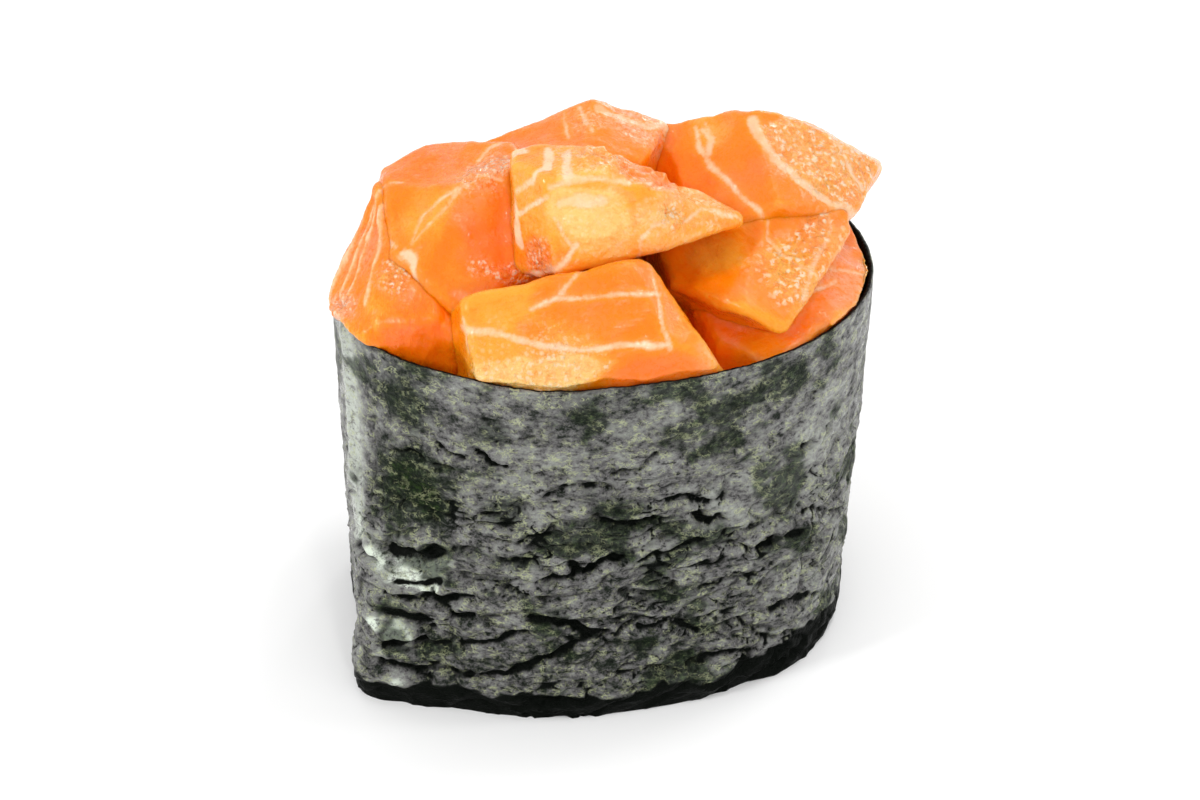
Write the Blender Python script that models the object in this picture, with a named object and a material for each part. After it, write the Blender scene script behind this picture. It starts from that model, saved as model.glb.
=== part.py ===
"""A battleship-shaped sushi piece: an oval band of seaweed stood on edge, filled with rice and heaped with
rough-cut blocks of raw salmon. Metres, +Z up. The origin is on the underside, at the middle of the rim's oval.
The long way of the oval is X, and -Y is the front."""

import math

import bmesh
import bpy
from mathutils import Matrix, Vector

MM = 0.001
GAP = 0.3  # clearance between pieces that touch

# The seaweed band, in millimetres
RIM_HALF_LENGTH, RIM_HALF_WIDTH, RIM_SQUARENESS = 24.0, 18.45, 2.14
FOOT_HALF_LENGTH, FOOT_HALF_WIDTH, FOOT_SQUARENESS = 23.55, 17.9, 2.5
FOOT_SHIFT = (-0.8, -0.45)  # the foot has slid a little to the front left
BAND_HEIGHT = 36.0
SHEET = 0.5  # thickness of the damp sheet
OVERLAP_STEP = 0.35  # how far the loose end stands out over the first turn
OVERLAP_FROM, OVERLAP_TO = 68.0, 118.0  # degrees round the oval, at the back
SEGMENTS, LEVELS = 76, 8

# The rice bed
RICE_TOP = 31.0
RICE_DOME = 0.9

# The salmon blocks. Each is a lump of fillet trimmed by knife cuts: the block's centre in millimetres, then
# one cut after another as (compass degrees from the front towards +X, degrees up, millimetres from the centre).
# A block only gives way to the blocks listed before it.
LUMP = 46.0
EDGE = 0.55  # how far the cut edges have softened
BLOCKS = {
    "salmon_centre": ((-2, -6, 45), [
        (-100, 86, 5.2), (-61, 10, 5.6), (-95, 0, 6.1), (-4, 26, 4.6), (88, 63, 5.1), (27, 30, 5.9),
        (150, 35, 4.4), (-170, 30, 6.3), (0, -84, 3.8), (50, -17, 10.4), (20, -62, 3.75)]),
    "salmon_right_top": ((16, 0, 43), [
        (-30, 68, 4.25), (31, 63, 2.9), (40, 45, 3.4), (-63, 28, 6.8), (-46, 56, 3.9), (60, -20, 6.6),
        (5, -35, 4.1), (120, 55, 5.2), (175, 40, 6.3), (0, -86, 3.0), (150, 10, 8.5)]),
    "salmon_left_top": ((-13, -1, 39), [
        (-106, 79, 6.7), (-50, 58, 6.1), (8, 50, 6.2), (-88, 8, 5.7), (94, -4, 6.0), (180, 25, 10.2),
        (150, 20, 9.5), (-150, 30, 10.0), (0, -90, 7.5), (-60, -20, 5.2), (25, -40, 5.9)]),
    "salmon_front": ((-4, -12, 38), [
        (-9, 34, 4.7), (4, 6, 6.1), (42, 41, 7.5), (105, 27, 7.3), (-81, 0, 9.6), (-42, 44, 7.9),
        (-172, 45, 3.2), (170, 0, 7.0), (0, -90, 6.5)]),
    "salmon_right_flap": ((12, -9, 39), [
        (16, 64, 1.9), (-54, 66, 2.2), (-45, -40, 3.9), (60, -30, 3.9), (95, -5, 8.6), (180, 20, 7.5),
        (-10, -68, 3.4), (-90, 0, 7.5), (0, -90, 4.0)]),
    "salmon_back": ((-1, 5, 41), [
        (-91, 68, 6.27), (53, 76, 7.05), (60, -4, 6.0), (-80, 6, 9.0), (0, 10, 6.5), (180, 20, 4.9),
        (145, 38, 7.2), (0, -90, 9.5)]),
    "salmon_left_low": ((-17.5, -4, 36), [
        (-73, 43, 5.1), (-29, 62, 5.2), (-14, 0, 6.4), (-80, -8, 6.5), (-125, 8, 6.3), (150, 20, 8.5),
        (88, 0, 4.3), (0, -90, 4.5), (-45, -6, 7.6), (75, 53, 4.8)]),
    "salmon_right_low": ((15, -6, 34), [
        (60, 71, 4.5), (-20, 70, 4.2), (90, 10, 8.6), (0, 4, 10.5), (50, 8, 9.2), (-75, 0, 8.5),
        (180, 0, 12.0), (0, -90, 2.6), (-40, 10, 9.5)]),
    "salmon_back_left": ((-11, 12, 36), [
        (175, 60, 3.0), (-112, 56, 5.0), (150, 38, 7.6), (178, 4, 5.4), (0, 0, 6.0), (-90, 0, 9.5), (84, 6, 10.5),
        (0, -90, 4.5)]),
    "salmon_back_right": ((14, 9, 36), [
        (170, 62, 4.0), (128, 40, 6.6), (-165, 36, 8.2), (176, 3, 8.0), (0, 0, 5.5), (-96, 8, 12.5), (90, 0, 9.5),
        (0, 90, 5.6), (0, -90, 4.5)]),
}
FLESH = {  # each block's own tint of orange
    "salmon_centre": (0.95, 0.52, 0.17), "salmon_right_top": (0.93, 0.34, 0.09), "salmon_left_top": (0.92, 0.34, 0.08),
    "salmon_front": (0.95, 0.38, 0.11), "salmon_right_flap": (0.94, 0.38, 0.10), "salmon_back": (0.92, 0.36, 0.14),
    "salmon_left_low": (0.90, 0.31, 0.10), "salmon_right_low": (0.90, 0.29, 0.08), "salmon_back_left": (0.91, 0.33, 0.10),
    "salmon_back_right": (0.91, 0.33, 0.10),
}

for old in list(bpy.data.objects):
    bpy.data.objects.remove(old, do_unlink=True)


def collection(name):
    made = bpy.data.collections.new(name)
    bpy.context.scene.collection.children.link(made)
    return made


PARTS = collection("salmon_gunkan")
CUTTERS = collection("salmon_gunkan_cutters")


def material(name, colour, roughness):
    made = bpy.data.materials.new(name)
    made.use_nodes = True
    shader = made.node_tree.nodes["Principled BSDF"]
    shader.inputs["Base Color"].default_value = (*colour, 1.0)
    shader.inputs["Roughness"].default_value = roughness
    shader.inputs["Metallic"].default_value = 0.0
    return made


def add(name, bm, look=None, cutter=False):
    """Makes an object of a bmesh that is in millimetres."""
    bmesh.ops.recalc_face_normals(bm, faces=bm.faces[:])
    bmesh.ops.scale(bm, vec=(MM, MM, MM), verts=bm.verts[:])
    mesh = bpy.data.meshes.new(name)
    bm.to_mesh(mesh)
    bm.free()
    made = bpy.data.objects.new(name, mesh)
    (CUTTERS if cutter else PARTS).objects.link(made)
    if cutter:
        made.hide_render = True
        made.display_type = "WIRE"
    else:
        mesh.materials.append(look)
    return made


# ---------------------------------------------------------------- the oval


def superellipse(turn, half_length, half_width, squareness):
    c, s = math.cos(turn), math.sin(turn)
    return Vector((
        half_length * math.copysign(abs(c) ** (2 / squareness), c),
        half_width * math.copysign(abs(s) ** (2 / squareness), s),
    ))


def bump(turn, middle, width):
    """1 at the middle angle, falling to 0 about a width away. All in degrees but turn."""
    away = (math.degrees(turn) - middle + 180) % 360 - 180
    return math.exp(-((away / width) ** 2))


def wall_point(turn, z):
    """A point on the band's outer face before its sheet is folded over itself."""
    up = min(z / BAND_HEIGHT, 1.0)
    ease = up * up * (3 - 2 * up)
    rim = superellipse(turn, RIM_HALF_LENGTH, RIM_HALF_WIDTH, RIM_SQUARENESS)
    foot = superellipse(turn, FOOT_HALF_LENGTH, FOOT_HALF_WIDTH, FOOT_SQUARENESS) + Vector(FOOT_SHIFT)
    flat = foot.lerp(rim, ease)
    low = 1 - ease
    out = flat.normalized()
    crease = 3.2 * low**1.5 * bump(turn, 210, 13)  # the corner pressed out at the foot's front left
    slack = 0.35 * low * math.sin(3 * turn + 0.8) + 0.16 * math.sin(7 * turn + 5 * up) * low
    pinch = -0.45 * bump(turn, 196, 10) * math.exp(-(((z - 9) / 5) ** 2))
    flattened = -1.35 * ease * bump(turn, 159, 16)  # the rim's oval is pressed in at the back left
    return flat + out * (crease + slack + pinch + flattened)


def wall(turn, z, inset):
    """The outer face moved inwards, square to the oval, by inset millimetres."""
    step = 0.01
    along = (wall_point(turn + step, z) - wall_point(turn - step, z)).normalized()
    flat = wall_point(turn, z) - Vector((along.y, -along.x)) * inset
    return Vector((flat.x, flat.y, z))


def ring(bm, turns, z, inset, lift=None):
    made = []
    for turn in turns:
        point = wall(turn, z, inset(turn) if callable(inset) else inset)
        if lift:
            point.z += lift(turn)
        made.append(bm.verts.new(point))
    return made


def skin(bm, low, high):
    for i in range(len(low)):
        j = (i + 1) % len(low)
        bm.faces.new((low[i], low[j], high[j], high[i]))


EVEN = [2 * math.pi * i / SEGMENTS for i in range(SEGMENTS)]

# ---------------------------------------------------------------- the seaweed band

FIRST, LAST = math.radians(OVERLAP_FROM), math.radians(OVERLAP_TO)
# the loose end is a small step, so two points stand close together there
TURNS = sorted([t for t in EVEN if abs(t - LAST) > 0.03] + [LAST - 0.008, LAST + 0.008])


def folded(turn):
    """How far the outer face stands out, negative inset: the sheet's second turn rises slowly and ends in a step."""
    if FIRST < turn < LAST:
        return -OVERLAP_STEP * min(1.0, (turn - FIRST) / math.radians(14))
    return 0.0


def rim_lift(turn):
    """The cut edge isn't quite level: it dips where the front block leans on it."""
    return -0.45 * bump(turn, 252, 13) + 0.16 * math.sin(2 * turn + 1.0) + 0.08 * math.sin(5 * turn)


bm = bmesh.new()
outer, inner = [], []
for level in range(LEVELS + 1):
    z = BAND_HEIGHT * level / LEVELS
    top = level == LEVELS
    outer.append(ring(bm, TURNS, z, folded, rim_lift if top else None))
    inner.append(ring(bm, TURNS, z, SHEET, rim_lift if top else None))
for level in range(LEVELS):
    skin(bm, outer[level], outer[level + 1])
    skin(bm, inner[level + 1], inner[level])
skin(bm, outer[-1], inner[-1])
skin(bm, inner[0], outer[0])
nori = add("nori", bm, material("nori", (0.035, 0.05, 0.03), 0.42))
nori.data.shade_smooth()
nori.data.set_sharp_from_angle(angle=math.radians(40))

# ---------------------------------------------------------------- the rice bed

bm = bmesh.new()
HALF = EVEN[::2]
fill = SHEET + GAP
bottom = ring(bm, HALF, 0.0, fill)
rings = [bottom]
for z in (9.0, 18.0, 26.0, RICE_TOP - 1.4):
    rings.append(ring(bm, HALF, z, fill))
for share, rise in ((0.8, 0.75), (0.5, 0.95), (0.2, 1.0)):
    loop = []
    for i, turn in enumerate(HALF):
        edge = wall(turn, RICE_TOP, fill)
        uneven = 0.25 * math.sin(4 * turn + 6 * share) + 0.15 * math.sin(9 * turn)
        loop.append(bm.verts.new((edge.x * share, edge.y * share, RICE_TOP - 0.5 - RICE_DOME * (1 - rise) + uneven * 0.6)))
    rings.append(loop)
for low, high in zip(rings, rings[1:]):
    skin(bm, low, high)
bm.faces.new(reversed(bottom))
bm.faces.new(rings[-1])
bmesh.ops.triangulate(bm, faces=[f for f in bm.faces if len(f.verts) > 4])
rice = add("rice", bm, material("rice", (0.86, 0.84, 0.78), 0.5))
rice.data.shade_smooth()
rice.data.set_sharp_from_angle(angle=math.radians(40))

# ---------------------------------------------------------------- room for the blocks inside the band

# Below the rim a block has to stay inside the band. Above it, it may hang over the edge, more the higher it is.
bm = bmesh.new()
levels = [ring(bm, EVEN, z, SHEET + GAP) for z in (24.0, 30.0, BAND_HEIGHT + GAP)]
for z, over in ((BAND_HEIGHT + GAP + 0.5, 0.45), (BAND_HEIGHT + 3.5, 2.4), (62.0, 20.0)):
    levels.append(ring(bm, EVEN, z, -over))
for low, high in zip(levels, levels[1:]):
    skin(bm, low, high)
bm.faces.new(reversed(levels[0]))
bm.faces.new(levels[-1])
ROOM = add("room_over_band", bm, cutter=True)

# ---------------------------------------------------------------- the salmon


def knife(compass, up):
    a, e = math.radians(compass), math.radians(up)
    return Vector((math.sin(a) * math.cos(e), -math.cos(a) * math.cos(e), math.sin(e)))


def trim(made, centre, planes):
    """Cuts a closed convex lump with each (direction, distance from the centre) in turn."""
    for way, far in planes:
        cut = bmesh.ops.bisect_plane(
            made, geom=made.verts[:] + made.edges[:] + made.faces[:], dist=1e-4,
            plane_co=centre + way * far, plane_no=way, clear_outer=True)
        edges = [e for e in cut["geom_cut"] if isinstance(e, bmesh.types.BMEdge)]
        if len(edges) > 2:
            bmesh.ops.contextual_create(made, geom=edges)


def lump(centre, cuts, grow=0.0, soft=0.0):
    """A cube round the centre, trimmed by each knife cut. With grow, every cut is that much further out. With
    soft, the edges are rounded to that radius: the cuts go soft deeper first, and the planes that touch a ball
    of radius soft at each edge and corner of that smaller lump are the facets of the round."""
    centre = Vector(centre)
    planes = [(knife(compass, up), far + grow) for compass, up, far in cuts]
    made = bmesh.new()
    bmesh.ops.create_cube(made, size=LUMP, matrix=Matrix.Translation(centre))
    trim(made, centre, [(way, far - soft) for way, far in planes])
    if not soft:
        return made
    made.normal_update()
    rounds = []
    for edge in made.edges:
        one, two = (face.normal for face in edge.link_faces)
        turn = one.angle(two)
        if turn > math.radians(14):
            steps = (1 / 3, 2 / 3) if turn > math.radians(40) else (1 / 2,)
            for share in steps:
                way = one.slerp(two, share).normalized()
                rounds.append((way, way.dot(edge.verts[0].co - centre) + soft))
    for corner in made.verts:
        way = sum((face.normal for face in corner.link_faces), Vector()).normalized()
        rounds.append((way, way.dot(corner.co - centre) + soft))
    made.free()
    made = bmesh.new()
    bmesh.ops.create_cube(made, size=LUMP, matrix=Matrix.Translation(centre))
    trim(made, centre, planes + rounds)
    bmesh.ops.remove_doubles(made, verts=made.verts[:], dist=0.01)
    bmesh.ops.dissolve_degenerate(made, edges=made.edges[:], dist=0.01)
    return made


def box_of(made):
    xs = [[v.co[i] for v in made.verts] for i in range(3)]
    return [min(x) for x in xs], [max(x) for x in xs]


placed = []
for name, (centre, cuts) in BLOCKS.items():
    bm = lump(centre, cuts, soft=EDGE)
    low, high = box_of(bm)
    block = add(name, bm, material(name, FLESH[name], 0.3))
    fit = block.modifiers.new("inside_the_band", "BOOLEAN")
    fit.operation, fit.solver, fit.object = "INTERSECT", "EXACT", ROOM
    for other, (other_low, other_high), room in placed:
        if all(low[i] < other_high[i] + 1 and other_low[i] - 1 < high[i] for i in range(3)):
            rest = block.modifiers.new("leaves_" + other, "BOOLEAN")
            rest.operation, rest.solver, rest.object = "DIFFERENCE", "EXACT", room
    grown = lump(centre, cuts, GAP)
    room = add(name + "_room", grown, cutter=True)
    placed.append((name, (low, high), room))
    block.data.shade_smooth()
    block.data.set_sharp_from_angle(angle=math.radians(50))
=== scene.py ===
"""Looks for the salmon gunkan maki: wet flesh with fat lines, a damp wrinkled sheet of seaweed, and grains of rice."""

import math

import bpy
import bmesh
import numpy as np
from mathutils import Matrix, Vector
from mathutils.bvhtree import BVHTree


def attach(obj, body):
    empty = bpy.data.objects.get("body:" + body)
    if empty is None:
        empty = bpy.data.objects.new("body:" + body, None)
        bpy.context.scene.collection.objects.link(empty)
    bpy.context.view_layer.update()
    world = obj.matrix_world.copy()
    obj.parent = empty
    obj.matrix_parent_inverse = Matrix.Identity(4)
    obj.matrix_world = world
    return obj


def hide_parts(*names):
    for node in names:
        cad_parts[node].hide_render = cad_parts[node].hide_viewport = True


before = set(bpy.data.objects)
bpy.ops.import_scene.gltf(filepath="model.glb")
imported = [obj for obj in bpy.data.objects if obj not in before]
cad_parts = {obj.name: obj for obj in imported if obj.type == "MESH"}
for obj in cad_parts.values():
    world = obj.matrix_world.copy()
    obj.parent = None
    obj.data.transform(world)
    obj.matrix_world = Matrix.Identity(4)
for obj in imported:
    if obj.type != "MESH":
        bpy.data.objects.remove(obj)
MM = 0.001
SCENE = bpy.context.scene

# ---------------------------------------------------------------- the photograph's camera, in millimetres and pixels

ELEVATION, AZIMUTH, FOCAL, MID_U, MID_V, AWAY, AIM_Z = 36.1, -9.2, 2181.0, 602.0, 445.0, 203.5, 16.65
_e, _a = math.radians(ELEVATION), math.radians(AZIMUTH)
BACK = np.array([math.sin(_a) * math.cos(_e), -math.cos(_a) * math.cos(_e), math.sin(_e)])
RIGHT = np.array([math.cos(_a), math.sin(_a), 0.0])
UP = np.cross(BACK, RIGHT)
EYE = np.array([0, 0, AIM_Z]) + BACK * AWAY

camera = bpy.data.objects.new("camera", bpy.data.cameras.new("camera"))
SCENE.collection.objects.link(camera)
camera.matrix_world = Matrix.LocRotScale(Vector(EYE * MM), Matrix(np.array([RIGHT, UP, BACK]).T.tolist()).to_quaternion(), None)
camera.data.sensor_width = 36
camera.data.lens = 36 * FOCAL / 1200
camera.data.shift_x = (600 - MID_U) / 1200
camera.data.shift_y = (MID_V - 400) / 1200
camera.data.clip_start, camera.data.clip_end = 0.01, 20
SCENE.camera = camera


def line_of_sight(u, v):
    way = RIGHT * (u - MID_U) / FOCAL - UP * (v - MID_V) / FOCAL - BACK
    return way / np.linalg.norm(way)


def pixels_of(points):
    away = points - (0, 0, AIM_Z)
    reach = AWAY - away @ BACK
    return np.stack([MID_U + FOCAL * (away @ RIGHT) / reach, MID_V - FOCAL * (away @ UP) / reach], 1)


def depth_inside(pixels, outline):
    """How many pixels a point lies inside an outline whose corners all bulge."""
    corners = np.array(outline, float)
    middle, best = corners.mean(0), np.full(len(pixels), 1e9)
    for a, b in zip(corners, np.roll(corners, -1, 0)):
        across = np.array([b[1] - a[1], a[0] - b[0]]) / np.linalg.norm(b - a)
        if (middle - a) @ across < 0:
            across = -across
        best = np.minimum(best, (pixels - a) @ across)
    return best


# ---------------------------------------------------------------- noise


class Noise:
    """Gradient noise of many points at once."""

    def __init__(self, seed):
        rng = np.random.default_rng(seed)
        self.perm = np.tile(rng.permutation(256), 2)
        g = rng.normal(size=(256, 3))
        self.grad = g / np.linalg.norm(g, axis=1)[:, None]

    def __call__(self, p):
        p = np.asarray(p, float)
        cell = np.floor(p).astype(int)
        f = p - cell
        cell &= 255
        fade = f * f * f * (f * (f * 6 - 15) + 10)
        total = np.zeros(len(p))
        for cx in (0, 1):
            for cy in (0, 1):
                for cz in (0, 1):
                    a = self.perm[(cell[:, 0] + cx) & 255]
                    a = self.perm[(a + cell[:, 1] + cy) & 255]
                    a = self.perm[(a + cell[:, 2] + cz) & 255]
                    dot = ((f - (cx, cy, cz)) * self.grad[a]).sum(1)
                    w = (fade[:, 0] if cx else 1 - fade[:, 0]) * (fade[:, 1] if cy else 1 - fade[:, 1])
                    total += dot * w * (fade[:, 2] if cz else 1 - fade[:, 2])
        return total * 1.6

    def sum(self, p, octaves=3, gain=0.5):
        out, size = 0, 1.0
        for i in range(octaves):
            out = out + size * self(p * 2**i + 17.3 * i)
            size *= gain
        return out


def step(low, high, x):
    t = np.clip((x - low) / (high - low), 0, 1)
    return t * t * (3 - 2 * t)


# ---------------------------------------------------------------- node helper


class Net:
    """Short ways to write a material's nodes."""

    def __init__(self, name):
        self.material = bpy.data.materials.new(name)
        self.material.use_nodes = True
        self.tree = self.material.node_tree
        self.shader = self.tree.nodes["Principled BSDF"]
        self._object = None

    def put(self, socket, value):
        if isinstance(value, bpy.types.NodeSocket):
            self.tree.links.new(value, socket)
        elif isinstance(value, tuple) and len(value) == 3 and socket.type == "RGBA":
            socket.default_value = (*value, 1)
        else:
            socket.default_value = value

    def node(self, kind, out=0, settings=None, **inputs):
        made = self.tree.nodes.new(kind)
        for key, value in (settings or {}).items():
            setattr(made, key, value)
        for key, value in inputs.items():
            self.put(made.inputs[int(key[1:]) if key[0] == "i" and key[1:].isdigit() else key.replace("_", " ")], value)
        return made.outputs[out]

    def math(self, operation, a, b=0.0, c=0.0, clamp=False):
        return self.node("ShaderNodeMath", settings={"operation": operation, "use_clamp": clamp}, i0=a, i1=b, i2=c)

    def step(self, value, low, high, to_low=0.0, to_high=1.0, kind="SMOOTHSTEP"):
        made = self.tree.nodes.new("ShaderNodeMapRange")
        made.interpolation_type = kind
        for key, what in (("Value", value), ("From Min", low), ("From Max", high), ("To Min", to_low), ("To Max", to_high)):
            self.put(made.inputs[key], what)
        return made.outputs[0]

    def mix(self, share, a, b):
        made = self.tree.nodes.new("ShaderNodeMix")
        made.data_type = "RGBA"
        made.clamp_factor = True
        self.put(made.inputs[0], share)
        self.put(made.inputs[6], a)
        self.put(made.inputs[7], b)
        return made.outputs[2]

    def place(self):
        """The point in the object's own frame, in millimetres."""
        if self._object is None:
            point = self.node("ShaderNodeTexCoord", out=3)
            self._object = self.node("ShaderNodeVectorMath", settings={"operation": "SCALE"}, i0=point, Scale=1000.0)
        return self._object

    def stretched(self, scales, turn=(0, 0, 0)):
        """The point scaled by so much a millimetre along three axes that are turned by so many degrees."""
        axes = Matrix.Rotation(math.radians(turn[2]), 3, "Z") @ Matrix.Rotation(math.radians(turn[1]), 3, "Y") @ Matrix.Rotation(math.radians(turn[0]), 3, "X")
        made = self.tree.nodes.new("ShaderNodeMapping")
        made.vector_type = "TEXTURE"
        self.put(made.inputs["Vector"], self.place())
        made.inputs["Rotation"].default_value = axes.to_euler()
        made.inputs["Scale"].default_value = [1 / s for s in scales]
        return made.outputs[0]

    def noise(self, vector, scale=1.0, detail=2.0, rough=0.5, distortion=0.0):
        return self.node("ShaderNodeTexNoise", Vector=vector, Scale=scale, Detail=detail, Roughness=rough, Distortion=distortion)

    def attribute(self, name):
        return self.node("ShaderNodeAttribute", out=2, settings={"attribute_name": name})

    def bump(self, height, distance, strength=1.0, normal=None):
        made = self.tree.nodes.new("ShaderNodeBump")
        self.put(made.inputs["Height"], height)
        self.put(made.inputs["Distance"], distance * MM)
        self.put(made.inputs["Strength"], strength)
        if normal is not None:
            self.put(made.inputs["Normal"], normal)
        return made.outputs[0]


# ---------------------------------------------------------------- meshes


def new_object(name, points, faces, smooth=True):
    """points in millimetres"""
    mesh = bpy.data.meshes.new(name)
    mesh.from_pydata((np.asarray(points, float) * MM).tolist(), [], faces)
    mesh.validate()
    made = bpy.data.objects.new(name, mesh)
    SCENE.collection.objects.link(made)
    if smooth:
        mesh.shade_smooth()
    return made


def set_attribute(mesh, name, values):
    made = mesh.attributes.new(name, "FLOAT", "POINT")
    made.data.foreach_set("value", np.asarray(values, np.float32))


def points_of(mesh):
    co = np.zeros(len(mesh.vertices) * 3, np.float32)
    mesh.vertices.foreach_get("co", co)
    return co.reshape(-1, 3).astype(float) / MM


def normals_of(mesh):
    co = np.zeros(len(mesh.vertices) * 3, np.float32)
    mesh.vertex_normals.foreach_get("vector", co)
    return co.reshape(-1, 3).astype(float)


def set_points(mesh, points):
    mesh.vertices.foreach_set("co", (points * MM).astype(np.float32).ravel())
    mesh.update()


# ---------------------------------------------------------------- the salmon

VOXEL = 0.24

# Fat lines that show: half width in millimetres, how white, and the pixels of the photograph they run through.
VEINS = {
    "salmon_front": [
        (0.22, 0.75, [(464, 326), (500, 333), (540, 343), (580, 350), (620, 347), (670, 342)]),
        (0.17, 0.7, [(532, 309), (555, 300), (600, 297), (657, 293)]),
        (0.20, 0.8, [(466, 318), (468, 330), (470, 350)]),
        (0.14, 0.9, [(486, 382), (505, 387), (530, 390)]),
        (0.14, 0.6, [(555, 300), (570, 285), (587, 268)]),
        (0.13, 0.7, [(643, 262), (652, 280), (656, 296), (664, 330), (672, 346)]),
        (0.22, 0.5, [(505, 290), (530, 281), (560, 276)]),
    ],
    "salmon_left_top": [
        (0.24, 0.7, [(404, 255), (415, 262), (425, 285), (437, 309), (450, 318)]),
        (0.16, 0.35, [(470, 186), (450, 205), (425, 232), (414, 246)]),
        (0.12, 0.6, [(401, 185), (388, 195), (385, 225), (399, 250)]),
        (0.16, 0.45, [(470, 189), (440, 203), (424, 216), (413, 246)]),
        (0.22, 0.5, [(478, 160), (490, 150), (500, 147)]),
        (0.10, 0.5, [(455, 178), (478, 181), (503, 184)]),
    ],
    "salmon_centre": [
        (0.46, 0.9, [(514, 146), (515, 175), (517, 205), (522, 243)]),
        (0.22, 0.8, [(519, 191), (532, 181), (546, 171)]),
        (0.20, 0.75, [(521, 216), (533, 206), (546, 197)]),
        (0.30, 0.75, [(548, 148), (549, 172)]),
        (0.34, 0.75, [(567, 152), (569, 178)]),
        (0.20, 0.5, [(549, 188), (570, 181), (600, 179), (630, 184)]),
        (0.20, 0.8, [(528, 276), (545, 271), (562, 264), (577, 244)]),
        (0.13, 0.7, [(683, 222), (700, 208), (719, 214), (742, 217)]),
        (0.25, 0.6, [(516, 150), (530, 143), (548, 139)]),
        (0.55, 0.45, [(560, 203), (580, 201), (602, 200)]),
        (0.12, 0.5, [(634, 256), (640, 240), (652, 228), (668, 222)]),
        (0.12, 0.6, [(553, 218), (562, 234), (573, 246)]),
    ],
    "salmon_back": [
        (0.45, 0.3, [(600, 112), (625, 122), (650, 128), (672, 131)]),
        (0.14, 0.7, [(566, 116), (570, 136)]),
        (0.14, 0.6, [(582, 110), (592, 132)]),
    ],
    "salmon_right_top": [
        (0.20, 0.6, [(697, 129), (700, 150), (711, 166), (740, 195), (762, 212)]),
        (0.30, 0.45, [(703, 131), (712, 141), (708, 156)]),
        (0.34, 0.5, [(751, 119), (760, 140), (780, 165), (802, 186), (830, 205), (850, 219)]),
        (0.22, 0.7, [(838, 146), (848, 168), (860, 190)]),
        (0.16, 0.5, [(706, 124), (713, 143)]),
    ],
    "salmon_right_flap": [
        (0.10, 0.6, [(745, 212), (765, 240), (790, 262), (810, 290)]),
        (0.12, 0.5, [(822, 214), (830, 230), (818, 255), (800, 300)]),
    ],
    "salmon_right_low": [
        (0.14, 0.6, [(828, 272), (845, 272), (864, 275)]),
        (0.12, 0.5, [(812, 296), (822, 289), (834, 282)]),
    ],
    "salmon_left_low": [
        (0.15, 0.5, [(383, 196), (374, 225), (362, 262), (352, 296)]),
        (0.15, 0.55, [(376, 208), (364, 240), (350, 278), (344, 296)]),
        (0.14, 0.5, [(387, 215), (380, 250), (371, 290), (368, 306)]),
        (0.13, 0.45, [(364, 218), (352, 245), (338, 275), (334, 290)]),
    ],
}
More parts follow.
